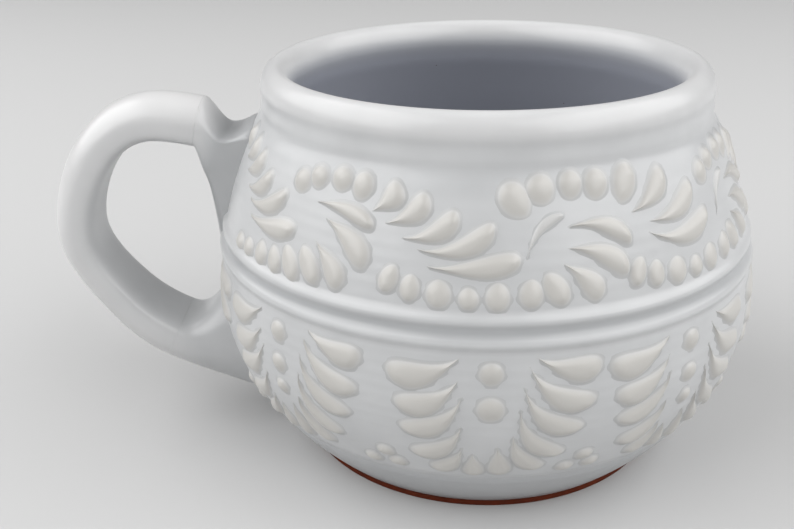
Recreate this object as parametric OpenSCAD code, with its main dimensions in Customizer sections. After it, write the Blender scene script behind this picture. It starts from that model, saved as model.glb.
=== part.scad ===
// Round-bellied earthenware mug with a pulled handle and slip-trailed relief.
// The frame stands on the foot: +Z is up, the handle points to -X, and -Y is the front.
// Angles round the mug start at the front and grow towards +X.

/* [Body] */
// Height of the mug, from the table to the top of the lip
cup_h = 85; // [75:0.5:100]
// Outer radius of the belly at its widest
belly_r = 58.5; // [54:0.5:64]
// Height of the widest point of the belly, as a share of the mug's height
belly_share = 0.412; // [0.36:0.002:0.46]
// Outer radius at the foot
foot_r = 41; // [36:0.5:46]
// Outer radius of the neck under the lip
neck_r = 47.4; // [44:0.2:50]
// From the top of the lip down to the neck, where the shoulder ends
neck_drop = 9.5; // [8:0.5:12]
// Thickness of the thrown wall
wall_t = 5; // [4:0.25:6]
// Height of the inner floor above the table
floor_z = 7; // [5:0.5:9]
// Radius of the flat part of the inner floor
floor_r = 32; // [24:1:36]

/* [Lip] */
// Thickness of the rounded lip
lip_t = 6.4; // [5:0.2:8]
// Height of the lip's rounding
lip_rise = 4.9; // [3:0.1:6]

/* [Ridges] */
// Height of the upper raised ridge, as a share of the mug's height
ridge_share = 0.599; // [0.58:0.001:0.62]
// Distance between the two raised ridges
ridge_apart = 4; // [3.6:0.1:5]
// How far a ridge stands out of the wall
ridge_h = 0.8; // [0.3:0.1:1.5]
// Half width of a ridge
ridge_w = 1.7; // [1:0.1:2.2]
// Height of the turned groove above the foot, as a share of the mug's height
groove_share = 0.169; // [0.14:0.001:0.19]
// Depth of the turned groove
groove_d = 0.4; // [0.2:0.1:0.8]
// Half width of the turned groove
groove_w = 1.6; // [1:0.1:2.4]

/* [Foot] */
// Height of the bare clay foot below the glaze
foot_h = 1.4; // [1:0.1:3]
// Bevel round the lower edge of the foot
foot_bevel = 0.6; // [0.3:0.1:1]
// How far the glaze stands out over the bare foot
glaze_over = 0.4; // [0.2:0.1:0.8]

/* [Handle] */
// Reach of the strap's centre line from the mug's axis
handle_reach = 90.5; // [84:0.5:98]
// From the top of the lip down to where the centre line leaves the wall
handle_drop = 16; // [15:0.5:19]
// Height at which the centre line meets the wall again, as a share of the mug's height
handle_low_share = 0.205; // [0.18:0.001:0.26]
// Thickness of the strap at the top
strap_top_t = 10.2; // [8:0.2:12]
// Thickness of the strap at the bottom
strap_low_t = 9.4; // [7:0.2:11]
// Width of the strap at the top
strap_top_w = 14.4; // [12:0.2:18]
// Width of the strap at the bottom
strap_low_w = 17; // [13:0.2:20]
// How far the upper joint clay reaches above the centre line
top_joint_up = 4.6; // [3:0.2:5.4]
// How far its tail is smeared down the wall
top_joint_tail = 24; // [16:0.5:26]
// Width of the upper joint on the wall
top_joint_w = 19; // [16:0.5:24]
// How far the lower joint clay reaches above the centre line
low_joint_up = 14; // [10:0.5:18]
// How far the lower joint clay reaches below it
low_joint_down = 8; // [6:0.5:12]
// Width of the lower joint on the wall
low_joint_w = 21; // [18:0.5:26]
// How far along the handle the lower joint clay reaches
low_joint_out = 9.6; // [7:0.1:13]
// Clearance between the joint clay and the wall
seat_gap = 0.3; // [0.2:0.05:0.4]

/* [Slip relief] */
// How far a stroke of slip stands out of the wall
relief = 1.2; // [0.6:0.1:2]
// Clearance under a stroke
slip_gap = 0.2; // [0.15:0.05:0.3]
// Gap from the upper ridge's crest up to the upper frieze
scroll_gap = 1.6; // [1:0.1:3]
// Gap from the upper frieze up to the neck
neck_gap = 0.5; // [0.3:0.1:4]
// Foot of the lower frieze, as a share of the mug's height
palm_low_share = 0.206; // [0.19:0.001:0.23]
// Gap from the lower frieze up to the lower ridge's crest
palm_gap = 2.5; // [2:0.1:6]
// Radius of the largest round dot on a palmette's centre line
dot_r = 2.7; // [1.5:0.1:2.9]
// Radius of a berry
berry_r = 1.9; // [1.2:0.1:2.2]
// Width of the thin blades inside the scrolls
stem_w = 1.9; // [1:0.1:2.2]
// Height of the thin blades off the wall
stem_h = 0.5; // [0.3:0.1:0.8]

/* [Layout] */
// Angle from the handle to the start of the first scroll
scroll_first_angle = -2.5; // [-4:0.25:0]
// Angle from the start of the last scroll to the handle
scroll_last_angle = 31.75; // [28:0.25:36]
// Angle from the handle to the centre of the first palmette
palm_first_angle = 4.3; // [3:0.1:6]
// Angle from the centre of the last palmette to the handle
palm_last_angle = 19.7; // [17:0.1:23]
// Angle kept free of slip on each side of the handle
clear_angle = 11; // [10:0.5:14]

/* [Hidden] */
$fn = 96;
handle_angle = -90;
// Exponents of the curves of the belly, the shoulder and the inner floor
low_power = 1.96;
high_power = 1.9;
floor_power = 4;
// Steps along the outline: belly, ridges, shoulder, lip and inside
belly_steps = 16;
ridge_steps = 13;
shoulder_steps = 9;
lip_steps = 12;
inner_steps = 9;
// Sides, rings along the strap and rings along a joint
strap_sides = 20;
strap_rings = 40;
joint_rings = 8;
joint_cap_rings = 5;
// How round the inside of the strap is beside the outside
strap_inner_share = 0.8;
// Place on the path at which the strap comes out of the upper joint clay
strap_first_share = 0.075;
// Spread of the joint clay: 1 is straight, more keeps the flare close to the wall
joint_flare = 2.2;
// Narrowing of the smeared tail
tail_narrow_share = 0.55;
// Centre line of the handle: shares of the reach past the wall and of the height of the ends
handle_path_shares = [
    [0, 1], [0.57, 1.062], [0.883, 0.878], [1, 0.543], [0.766, 0.244], [0.438, 0.062], [0, 0]
];
// Corners of a stroke's outline and of a small bead's
stroke_points = 12;
bead_points = 10;
// Top face of a stroke beside its foot: share of the length and of the width
top_len_share = 0.84;
top_wid_share = 0.46;
// Height of a stroke at its tail beside its head
tail_height_share = 0.45;
// Tapers: a bead is nearly an oval, a leaf is pinched to its tail
bead_taper = 0.15;
leaf_taper = 1.4;
dome_steps = 6;

// Heights that follow the mug's own height
belly_z = cup_h * belly_share;
neck_z = cup_h - neck_drop;
ridge_high_z = cup_h * ridge_share;
ridge_low_z = ridge_high_z - ridge_apart;
groove_z = cup_h * groove_share;
handle_top_z = cup_h - handle_drop;
handle_low_z = cup_h * handle_low_share;
// Length of the path's last span, and the place on the path at which the lower joint clay starts
last_span = len(handle_path_shares) - 1;
last_span_len = (handle_reach - wall_r(handle_low_z)) * handle_path_shares[last_span - 1][0];
strap_last_share = 1 - low_joint_out / (last_span_len * last_span);
scroll_low_z = ridge_high_z + scroll_gap;
scroll_h = neck_z - neck_gap - scroll_low_z;
palm_low_z = cup_h * palm_low_share;
palm_h = ridge_low_z - palm_gap - palm_low_z;

// Number of copies round the mug, and the angle that each takes
crest_count = 8;
trough_count = crest_count - 1;
stem_count = crest_count - 2;
palm_count = 9;
berry_count = palm_count - 1;
dot_count = palm_count - 1;
scroll_pitch_angle = (360 - scroll_first_angle - scroll_last_angle) / (crest_count - 1);
palm_pitch_angle = (360 - palm_first_angle - palm_last_angle) / (palm_count - 1);
// Pitch that the angles of the scroll tables are written for
table_pitch_angle = 47.25;
// How much wider or narrower the scrolls are than their tables
scroll_turn_share = scroll_pitch_angle / table_pitch_angle;

// Strokes of the scrolls. Each is: head angle from the start of its scroll, head height share,
// tail angle, tail height share, width, bend share, taper.
crest_a_shares = [
    [-0.5, 0.86, 1, 0.67, 0.205, 0, 0], [5, 0.92, 4.5, 0.74, 0.2, 0, 0],
    [11.3, 0.95, 10.5, 0.76, 0.21, 0, 0], [17, 0.94, 15.5, 0.73, 0.2, 0, 0],
    [25, 0.88, 19.2, 0.67, 0.2, -0.07, 1], [31, 0.82, 22.5, 0.6, 0.19, -0.1, 1],
    [37, 0.71, 26.3, 0.51, 0.18, -0.12, 1], [44, 0.63, 29.3, 0.44, 0.18, -0.13, 1],
    [48.8, 0.39, 31.5, 0.32, 0.185, -0.05, 1]
];
crest_b_shares = [
    [-2, 0.92, 3, 0.7, 0.24, 0, 0], [4.5, 0.98, 7, 0.77, 0.23, 0, 0],
    [12.5, 1, 11.5, 0.79, 0.195, 0, 0], [18.5, 0.99, 16.5, 0.77, 0.21, 0, 0],
    [25.8, 1, 22.5, 0.72, 0.22, 0, 0], [34.8, 0.9, 24.5, 0.64, 0.2, -0.1, 1],
    [42.5, 0.73, 28.5, 0.55, 0.195, -0.12, 1], [46, 0.48, 28, 0.47, 0.2, -0.14, 1]
];
trough_a_shares = [
    [-1, 0.09, 1.2, 0.31, 0.165, 0, 0], [4, 0.04, 4.5, 0.26, 0.17, 0, 0],
    [9.7, 0.01, 9.5, 0.24, 0.215, 0, 0], [15.2, 0.01, 14.8, 0.19, 0.17, 0, 0],
    [20, 0, 20.4, 0.23, 0.2, 0, 0], [26, 0.02, 26.4, 0.25, 0.2, 0, 0],
    [32.7, 0.04, 28.8, 0.28, 0.2, 0, 0], [39.5, 0.06, 32.3, 0.34, 0.2, 0.06, 1],
    [45.5, 0.22, 33.2, 0.45, 0.19, 0.1, 1], [46.8, 0.44, 33.8, 0.6, 0.155, 0.13, 1]
];
trough_b_shares = [
    [5, -0.03, 5.3, 0.13, 0.195, 0, 0], [9.8, -0.03, 9.5, 0.15, 0.19, 0, 0],
    [15.3, -0.03, 14.7, 0.19, 0.2, 0, 0], [21, -0.03, 18.7, 0.2, 0.185, 0, 0],
    [26.7, -0.02, 22.6, 0.25, 0.2, 0, 0], [32.2, 0.02, 27.2, 0.29, 0.2, 0, 0],
    [37.8, 0.05, 30.4, 0.36, 0.21, 0.05, 1], [42.8, 0.26, 31.8, 0.55, 0.22, 0.08, 1],
    [43.2, 0.56, 28.8, 0.65, 0.14, 0.07, 1]
];
// Petals of a palmette. Each is: head angle and height, tail angle and height, width and bend,
// as shares of the half pitch, of the frieze's height and, for the bend, of the petal's length.
petal_shares = [
    [-0.9, 0.85, -0.26, 1, 0.215, 0.13], [-0.82, 0.61, -0.27, 0.84, 0.21, 0.16],
    [-0.78, 0.41, -0.24, 0.71, 0.195, 0.18], [-0.7, 0.18, -0.24, 0.48, 0.185, 0.18],
    [-0.52, 0.01, -0.24, 0.27, 0.165, 0.14], [0.95, 0.89, 0.37, 1, 0.2, -0.1],
    [0.9, 0.63, 0.32, 0.93, 0.2, -0.16], [0.81, 0.42, 0.28, 0.78, 0.185, -0.18],
    [0.67, 0.19, 0.25, 0.62, 0.17, -0.18], [0.5, 0.04, 0.2, 0.41, 0.165, -0.15],
    [-0.13, -0.04, -0.15, 0.22, 0.16, 0], [0.12, -0.03, 0.07, 0.29, 0.175, 0]
];
// Dots on a palmette's centre line: height as a share of the frieze, radius as a share of dot_r.
// One row has only two, of which the lower is the largest of all.
dot_shares = [[0.88, 0.84], [0.63, 0.8], [0.43, 0.68]];
short_dot_shares = [[0.885, 0.87], [0.62, 1]];
short_row = 2;
// How far each palmette and each cluster stands off its even place, as a share of the pitch
palm_sway_shares = [0, -0.035, 0, -0.04, 0.02, -0.025, 0.03, -0.02, 0];
berry_sway_shares = [0, 0, -0.065, -0.02, 0.02, -0.03, 0.02, 0];
// Angle from the start of a crest row back to the start of its trough row
trough_back_angle = 23;
// Berries of one cluster: angle as a share of the half pitch and height as a share of the frieze
berry_shares = [[-0.13, 0.02], [0.03, 0.135], [0.13, 0.03]];
// The thin blade inside a scroll: head and tail, each as an angle as a share of the scroll's pitch
// and a height as a share of the frieze, then its bend
stem_shares = [0.21, 0.695, 0.055, 0.39, 0.16];
// Every one of this many scrolls is drawn from the second table
other_crest_every = 3;

// Curve of the wall's outside, without its ridges
function belly_curve(z) = z < belly_z
    ? belly_r - (belly_r - foot_r) * pow((belly_z - z) / (belly_z - foot_h), low_power)
    : belly_r - (belly_r - neck_r) * pow((z - belly_z) / (neck_z - belly_z), high_power);
// A round-topped band of height 1 around one level
function band(z, level, half) = pow(max(0, 1 - pow((z - level) / half, 2)), 2);
// Outer radius of the wall at a height
function wall_r(z) = belly_curve(z)
    + ridge_h * (band(z, ridge_low_z, ridge_w) + band(z, ridge_high_z, ridge_w))
    - groove_d * band(z, groove_z, groove_w);
// Inner radius of the wall at a height
function inner_r(z) = z > belly_z
    ? belly_curve(z) - wall_t
    : (belly_r - wall_t)
        - (belly_r - wall_t - floor_r) * pow((belly_z - z) / (belly_z - floor_z), floor_power);
// Steps from a to b, both included
function steps(a, b, n) = [for (i = [0:n]) a + (b - a) * i / n];
// A point on the wall, lifted off it, at an angle and a height
function on_wall(angle, z, lift) = [
    (wall_r(z) + lift) * sin(angle), -(wall_r(z) + lift) * cos(angle), z
];
// Radius at which the joint clay lies: on the wall, and above the belly over the ridges too
function root_r(z) = belly_curve(z)
    + ridge_h * (z > belly_z ? min(1, max(0, (ridge_high_z + 3 * ridge_w - z) / (2 * ridge_w))) : 0);
// A point of the joint clay's seat, seen from the handle's own side, with y across the strap
function on_root(y, z, lift) = [sqrt(pow(root_r(z) + lift, 2) - y * y), y, z];

lip_r = neck_r - lip_t / 2;
lip_z = cup_h - lip_rise;

module cup_wall() {
    outside = [
        for (z = concat(
            steps(foot_h, ridge_low_z - ridge_w, belly_steps),
            steps(ridge_low_z - ridge_w, ridge_high_z + ridge_w, ridge_steps),
            steps(ridge_high_z + ridge_w, neck_z, shoulder_steps)
        )) [wall_r(z), z]
    ];
    lip = [
        for (t = steps(0, 180, lip_steps)) [lip_r + lip_t / 2 * cos(t), lip_z + lip_rise * sin(t)]
    ];
    inside = concat(
        [for (z = steps(neck_z, belly_z, inner_steps)) [inner_r(z), z]],
        [for (t = steps(0, 1, inner_steps)) let (z = belly_z + (floor_z - belly_z) * sqrt(t))
            [inner_r(z), z]]
    );
    color("lightsteelblue")
        rotate_extrude()
            polygon(unique(concat([[0, foot_h]], outside, lip, inside, [[0, floor_z]])));
}

// Drops a point that repeats the one before it
function unique(list) = [
    for (i = [0:len(list) - 1]) if (i == 0 || norm(list[i] - list[i - 1]) > slip_gap / 4) list[i]
];

module foot() {
    r = belly_curve(foot_h) - glaze_over;
    color("sienna")
        rotate_extrude()
            polygon([[0, 0], [r - foot_bevel, 0], [r, foot_bevel], [r, foot_h], [0, foot_h]]);
}

// Path of the handle's centre line, in the plane of the strap, as a smooth curve through its points
handle_points = [
    for (s = handle_path_shares) let (
        z = handle_low_z + (handle_top_z - handle_low_z) * s[1],
        root = s[1] < 0.5 ? wall_r(handle_low_z) : wall_r(handle_top_z)
    ) [root + (handle_reach - root) * s[0], 0, z]
];
function path_at(s) = let (
    n = len(handle_points) - 1,
    i = min(floor(s * n), n - 1),
    t = s * n - i,
    p1 = handle_points[i],
    p2 = handle_points[i + 1],
    p0 = i > 0 ? handle_points[i - 1] : 2 * p1 - p2,
    p3 = i < n - 1 ? handle_points[i + 2] : 2 * p2 - p1
) 0.5 * ((2 * p1) + (p2 - p0) * t + (2 * p0 - 5 * p1 + 4 * p2 - p3) * t * t
    + (3 * p1 - p0 - 3 * p2 + p3) * t * t * t);
function unit(v) = v / norm(v);
function path_dir(s) = let (d = 1 / (4 * strap_rings))
    unit(path_at(min(1, s + d)) - path_at(max(0, s - d)));
// One ring of the strap: round outside, flatter inside
function strap_ring(s) = let (
    c = path_at(s), d = path_dir(s), out = [-d[2], 0, d[0]],
    t = strap_top_t + (strap_low_t - strap_top_t) * s,
    w = strap_top_w + (strap_low_w - strap_top_w) * s
) [for (k = [0:strap_sides - 1]) let (a = 360 * k / strap_sides, n = cos(a))
    c + out * t / 2 * (n > 0 ? n : n * strap_inner_share) + [0, w / 2 * sin(a), 0]];

// Skin over rings of points, closed at both ends by a fan
module skin(rings) {
    n = len(rings[0]);
    last = len(rings) - 1;
    middle = [for (end = [0, last]) let (ring = rings[end]) mean(ring)];
    points = concat([for (ring = rings) each ring], middle);
    first_middle = n * len(rings);
    sides = [for (r = [0:last - 1], k = [0:n - 1]) let (j = (k + 1) % n) each [
        [r * n + k, r * n + j, (r + 1) * n + j], [r * n + k, (r + 1) * n + j, (r + 1) * n + k]
    ]];
    caps = [for (k = [0:n - 1]) let (j = (k + 1) % n) each [
        [j, k, first_middle], [last * n + k, last * n + j, first_middle + 1]
    ]];
    polyhedron(points, concat(sides, caps), convexity = 6);
}
function mean(list) = [for (axis = [0:2]) sum([for (p = list) p[axis]]) / len(list)];
function sum(list, i = 0) = i == len(list) ? 0 : list[i] + sum(list, i + 1);

module handle() {
    color("lightsteelblue") rotate([0, 0, 180])
        skin([for (s = steps(strap_first_share, strap_last_share, strap_rings)) strap_ring(s)]);
}

// Ring of joint clay where it meets the wall, drawn in towards its middle by share
function wall_ring(root_z, up, down, wide, down_narrow, share) = [
    for (k = [0:strap_sides - 1]) let (
        a = 360 * k / strap_sides, n = cos(a),
        z = root_z + share * n * (n > 0 ? up : down),
        y = share * wide / 2 * sin(a) * (n > 0 ? 1 : 1 - down_narrow * n * n)
    ) on_root(y, z, seat_gap)
];
// Rings from the strap's end to the wall, with the flare close to the wall
function joint_skin(start, up, down, root_z, wide, down_narrow) = let (
    full = wall_ring(root_z, up, down, wide, down_narrow, 1)
) concat(
    [for (e = steps(0, 1, joint_rings)) let (f = pow(e, joint_flare))
        [for (k = [0:strap_sides - 1]) let (a = start[k], b = full[k])
            [a[0] + (b[0] - a[0]) * e, a[1] + (b[1] - a[1]) * f, a[2] + (b[2] - a[2]) * f]]],
    [for (i = [1:joint_cap_rings - 1])
        wall_ring(root_z, up, down, wide, down_narrow, 1 - i / joint_cap_rings)]
);

module handle_top_joint() {
    color("lightsteelblue") rotate([0, 0, 180])
        skin(joint_skin(strap_ring(strap_first_share), top_joint_up, top_joint_tail,
            handle_top_z, top_joint_w, tail_narrow_share));
}

module handle_bottom_joint() {
    color("lightsteelblue") rotate([0, 0, 180])
        skin(joint_skin(strap_ring(strap_last_share), -low_joint_down, -low_joint_up,
            handle_low_z, low_joint_w, 0));
}

// Widest value of sin(t) * sin(t / 2)^taper, which makes a stroke's named width its true one
function peak(taper) = 2 * pow((taper + 1) / (taper + 2), (taper + 1) / 2) / sqrt(taper + 2);

// One stroke of slip on the wall, from its tail to its head. Its outline follows
// x = length * (1 - cos(t)) / 2 and y = width * sin(t) * sin(t / 2)^taper, bent sideways.
module stroke(head, tail, width, bend, taper, high = relief) {
    n = taper == leaf_taper ? stroke_points : bead_points;
    r = wall_r((head[1] + tail[1]) / 2);
    mm = PI * r / 180;
    u = (head[0] - tail[0]) * mm;
    v = head[1] - tail[1];
    long = norm([u, v]);
    function spot(k, len_share, wid_share, lift) = let (
        t = 360 * k / n,
        x = long / 2 * (1 - cos(t) * len_share),
        side = width / 2 * sin(t) * pow(abs(sin(t / 2)), taper) / peak(taper) * wid_share,
        y = side + bend * 4 * x * (1 - x / long),
        du = (x * u - y * v) / long,
        dv = (x * v + y * u) / long,
        rise = lift * (tail_height_share + (1 - tail_height_share) * x / long)
    ) on_wall(tail[0] + du / mm, tail[1] + dv, slip_gap + rise);
    points = concat(
        [for (k = [0:n - 1]) spot(k, 1, 1, 0)],
        [for (k = [0:n - 1]) spot(k, top_len_share, top_wid_share, high)]
    );
    sides = [for (k = [0:n - 1]) let (j = (k + 1) % n) each [[k, j, n + j], [k, n + j, n + k]]];
    polyhedron(points, concat(sides, stroke_caps(n)), convexity = 4);
}
// Foot and top of a stroke, as strips across it
function stroke_caps(n) = [for (k = [0:n / 2 - 1]) let (d = (n - k) % n, c = n - k - 1) each concat(
    k < n / 2 - 1 ? [[d, c, k + 1], [n + k + 1, n + c, n + d]] : [],
    k > 0 ? [[d, k + 1, k], [n + k, n + k + 1, n + d]] : []
)];

// A round dot of slip: a low dome, square to the wall
module dot(angle, z, r) {
    slope = atan((wall_r(z + r / 2) - wall_r(z - r / 2)) / r);
    rise = relief;
    ball = (r * r + rise * rise) / (2 * rise);
    edge = asin(r / ball);
    translate(on_wall(angle, z, slip_gap))
        rotate([0, 90 + slope, angle - 90])
            rotate_extrude()
                polygon(concat([[0, 0]], [
                    for (a = steps(edge, 0, dome_steps))
                        [max(0, ball * sin(a)), max(0, ball * cos(a) - ball + rise)]
                ]));
}

function is_clear(angle) = angle > handle_angle + clear_angle
    && angle < handle_angle + 360 - clear_angle;

// One row of a scroll, from its table
module scroll_row(table, start) {
    for (s = table) {
        head = [start + s[0] * scroll_turn_share, scroll_low_z + scroll_h * s[1]];
        tail = [start + s[2] * scroll_turn_share, scroll_low_z + scroll_h * s[3]];
        if (is_clear(head[0]) && is_clear(tail[0]))
            stroke(head, tail, scroll_h * s[4], s[5], s[6] == 1 ? leaf_taper : bead_taper);
    }
}
function scroll_angle(i) = handle_angle + scroll_first_angle + scroll_pitch_angle * (i - 1);
module scroll_crest(i) {
    color("white") scroll_row(
        i % other_crest_every == 0 ? crest_b_shares : crest_a_shares,
        scroll_angle(i)
    );
}

module scroll_trough(i) {
    color("white") scroll_row(
        i == 1 ? trough_b_shares : trough_a_shares,
        scroll_angle(i + 1) - trough_back_angle * scroll_turn_share
    );
}

module scroll_stem(i) {
    start = scroll_angle(i + 2);
    head = [start + scroll_pitch_angle * stem_shares[0], scroll_low_z + scroll_h * stem_shares[1]];
    tail = [start + scroll_pitch_angle * stem_shares[2], scroll_low_z + scroll_h * stem_shares[3]];
    color("white") stroke(head, tail, stem_w, stem_shares[4], leaf_taper, stem_h);
}

function palm_angle(i) = handle_angle + palm_first_angle
    + palm_pitch_angle * (i - 1 + palm_sway_shares[i - 1]);
module palmette(i) {
    half = palm_pitch_angle / 2;
    color("white") for (s = petal_shares) {
        head = [palm_angle(i) + half * s[0], palm_low_z + palm_h * s[1]];
        tail = [palm_angle(i) + half * s[2], palm_low_z + palm_h * s[3]];
        if (is_clear(head[0]) && is_clear(tail[0]))
            stroke(head, tail, palm_h * s[4], s[5], leaf_taper);
    }
}

// The first palmette is a half one beside the handle and has no dots
module palmette_dots(i) {
    color("white") for (s = i == short_row ? short_dot_shares : dot_shares)
        dot(palm_angle(i + 1), palm_low_z + palm_h * s[0], dot_r * s[1]);
}

// A cluster stands about midway between two palmettes
module berry_cluster(i) {
    even = handle_angle + palm_first_angle + palm_pitch_angle * (i - 1 / 2);
    centre = even + palm_pitch_angle * berry_sway_shares[i - 1];
    color("white") for (s = berry_shares)
        dot(centre + palm_pitch_angle / 2 * s[0], palm_low_z + palm_h * s[1], berry_r);
}

cup_wall();
foot();
handle();
handle_top_joint();
handle_bottom_joint();
for (i = [1:crest_count])
    scroll_crest(i);
for (i = [1:trough_count])
    scroll_trough(i);
for (i = [1:stem_count])
    scroll_stem(i);
for (i = [1:palm_count])
    palmette(i);
for (i = [1:dot_count])
    palmette_dots(i);
for (i = [1:berry_count])
    berry_cluster(i);
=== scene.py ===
"""Looks of a round-bellied earthenware mug with slip-trailed relief, built round its CAD part.

Sizes are in millimetres and angles in degrees, as in the part's source, and turn to metres only
when a mesh is made. Angles round the mug start at the front, -Y, and grow towards +X, so that the
handle stands at -90.
"""

import logging
from dataclasses import dataclass, replace
from enum import Enum
from typing import Sequence

import bpy
import numpy as np
from mathutils import Matrix, Vector


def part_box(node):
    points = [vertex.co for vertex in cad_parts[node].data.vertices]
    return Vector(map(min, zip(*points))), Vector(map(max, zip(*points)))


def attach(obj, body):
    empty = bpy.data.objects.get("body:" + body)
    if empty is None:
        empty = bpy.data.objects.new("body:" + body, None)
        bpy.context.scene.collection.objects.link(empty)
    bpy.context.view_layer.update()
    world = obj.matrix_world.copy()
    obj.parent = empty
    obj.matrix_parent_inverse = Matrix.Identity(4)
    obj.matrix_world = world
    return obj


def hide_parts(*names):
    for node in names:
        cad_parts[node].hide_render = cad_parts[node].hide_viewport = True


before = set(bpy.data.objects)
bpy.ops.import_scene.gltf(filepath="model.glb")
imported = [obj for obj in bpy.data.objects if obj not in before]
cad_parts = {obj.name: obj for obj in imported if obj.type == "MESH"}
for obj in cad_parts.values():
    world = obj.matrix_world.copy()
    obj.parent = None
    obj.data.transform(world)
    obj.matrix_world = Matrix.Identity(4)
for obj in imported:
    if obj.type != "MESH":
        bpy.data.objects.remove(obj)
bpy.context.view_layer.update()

MM = 0.001
BODY = "root"
HANDLE_ANGLE = -90.0
LOG = logging.getLogger("mug")
# The coat attribute: red is glaze that has pooled, and painted shade round the strokes, low on the wall
# and on the handle; green is white slip or thin glaze, and painted light on the handle's outer side;
# blue is painted shade inside
COAT = "coat"
# Sockets of a Mix node that mixes colours: the share, both colours and the result
MIX_SHARE, MIX_FIRST, MIX_SECOND, MIX_RESULT = 0, 6, 7, 2
# A table of places and sizes: one tuple of numbers per stroke, dot or point of a line
Table = tuple[tuple[float, ...], ...]


class Slot(Enum):
    """Material slots of the record."""

    GLAZE = "glaze"
    SLIP = "slip"
    BARE_CLAY = "bare_clay"


class Taper(Enum):
    """A stroke's outline: how sharply it narrows to its tail, and how blunt its head is.

    Both are powers of sin(t / 2): the first shapes the width and the second the length.
    """

    DOT = (0.0, 2.0)
    BEAD = (0.15, 2.0)
    LEAF = (1.0, 1.4)


def linear(hex_colour: str) -> tuple[float, float, float, float]:
    """Turns an sRGB colour into Blender's linear one.

    Args:
        hex_colour: the colour as six hex digits.

    Returns:
        Red, green, blue and alpha, each from 0 to 1.
    """
    srgb = np.array([int(hex_colour[i : i + 2], 16) for i in (0, 2, 4)]) / 255
    rgb = np.where(srgb <= 0.04045, srgb / 12.92, ((srgb + 0.055) / 1.055) ** 2.4)
    return (*rgb.tolist(), 1.0)


def band(z: np.ndarray, level: float, half: float) -> np.ndarray:
    """A round-topped band of height 1 round one level: (1 - ((z - level) / half)^2)^2."""
    return np.maximum(0, 1 - ((z - level) / half) ** 2) ** 2


def ramp(x: np.ndarray, start: float, end: float) -> np.ndarray:
    """A smooth step from 0 at start to 1 at end: 3 t^2 - 2 t^3 of the share t between them."""
    t = np.clip((x - start) / (end - start), 0, 1)
    return t * t * (3 - 2 * t)


@dataclass(frozen=True)
class Surface:
    """Points in millimetres with their faces and one colour per point."""

    points: np.ndarray
    quads: np.ndarray
    triangles: np.ndarray
    coat: np.ndarray

    def turned_outwards(self) -> "Surface":
        """Turns the faces over if the closed surface's signed volume is negative.

        Returns:
            The same surface with its faces pointing outwards.
        """
        split = np.concatenate([self.quads[:, [0, 1, 2]], self.quads[:, [0, 2, 3]], self.triangles])
        a, b, c = (self.points[split[:, i]] for i in range(3))
        if np.einsum("ij,ij->i", a, np.cross(b, c)).sum() >= 0:
            return self
        return replace(self, quads=self.quads[:, ::-1], triangles=self.triangles[:, ::-1])


def joined(parts: Sequence[Surface]) -> Surface:
    """Puts several surfaces into one, with their point numbers carried on.

    Args:
        parts: the surfaces, in order.

    Returns:
        One surface with all their points and faces.
    """
    first = np.cumsum([0] + [len(p.points) for p in parts[:-1]])
    return Surface(
        np.concatenate([p.points for p in parts]),
        np.concatenate([p.quads + n for p, n in zip(parts, first)]),
        np.concatenate([p.triangles + n for p, n in zip(parts, first)]),
        np.concatenate([p.coat for p in parts]),
    )


def round_axis(r: np.ndarray, turn: np.ndarray, z: np.ndarray) -> np.ndarray:
    """Points (r sin turn, -r cos turn, z) round the mug's axis, with the front at a turn of 0.

    Args:
        r: distances from the axis.
        turn: angles round it, in radians.
        z: heights.

    Returns:
        x, y and z of each point.
    """
    return np.stack(np.broadcast_arrays(r * np.sin(turn), -r * np.cos(turn), z), axis=-1)


def ring_quads(rings: int, around: int) -> np.ndarray:
    """Quads between neighbouring closed rings of points that are numbered ring by ring.

    Args:
        rings: number of rings.
        around: number of points in each.

    Returns:
        Four point numbers per quad.
    """
    ring, k = np.meshgrid(np.arange(rings - 1) * around, np.arange(around), indexing="ij")
    after = (k + 1) % around
    quads = [ring + k, ring + after, ring + around + after, ring + around + k]
    return np.stack(quads, axis=-1).reshape(-1, 4)


def capped_rings(rings: np.ndarray, coat: np.ndarray, ends: np.ndarray) -> Surface:
    """Skin over closed rings, with a fan of triangles to one middle point at each end.

    Args:
        rings: points as rings, points round a ring, and x, y, z.
        coat: colour of each of these points.
        ends: the two middle points.

    Returns:
        The closed surface, with its faces pointing outwards.
    """
    count, around = rings.shape[:2]
    k = np.arange(around)
    after = (k + 1) % around
    last = (count - 1) * around
    middle = count * around
    fans = [
        np.stack([after, k, np.full(around, middle)], axis=-1),
        np.stack([last + k, last + after, np.full(around, middle + 1)], axis=-1),
    ]
    return Surface(
        np.concatenate([rings.reshape(-1, 3), ends]),
        ring_quads(count, around),
        np.concatenate(fans),
        np.concatenate([coat.reshape(-1, 3), coat[0, :1], coat[-1, :1]]),
    ).turned_outwards()


def held(shares: np.ndarray) -> np.ndarray:
    """Adds a share close to each end, so that a hidden cap doesn't tilt the normals of what shows.

    Args:
        shares: rising shares of the way along a path.

    Returns:
        The shares, with one more beside the first and one more beside the last.
    """
    near = 0.002
    first, last = shares[0], shares[-1]
    inner = [first + (last - first) * near, last - (last - first) * near]
    return np.concatenate([[first, inner[0]], shares[1:-1], [inner[1], last]])


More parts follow.
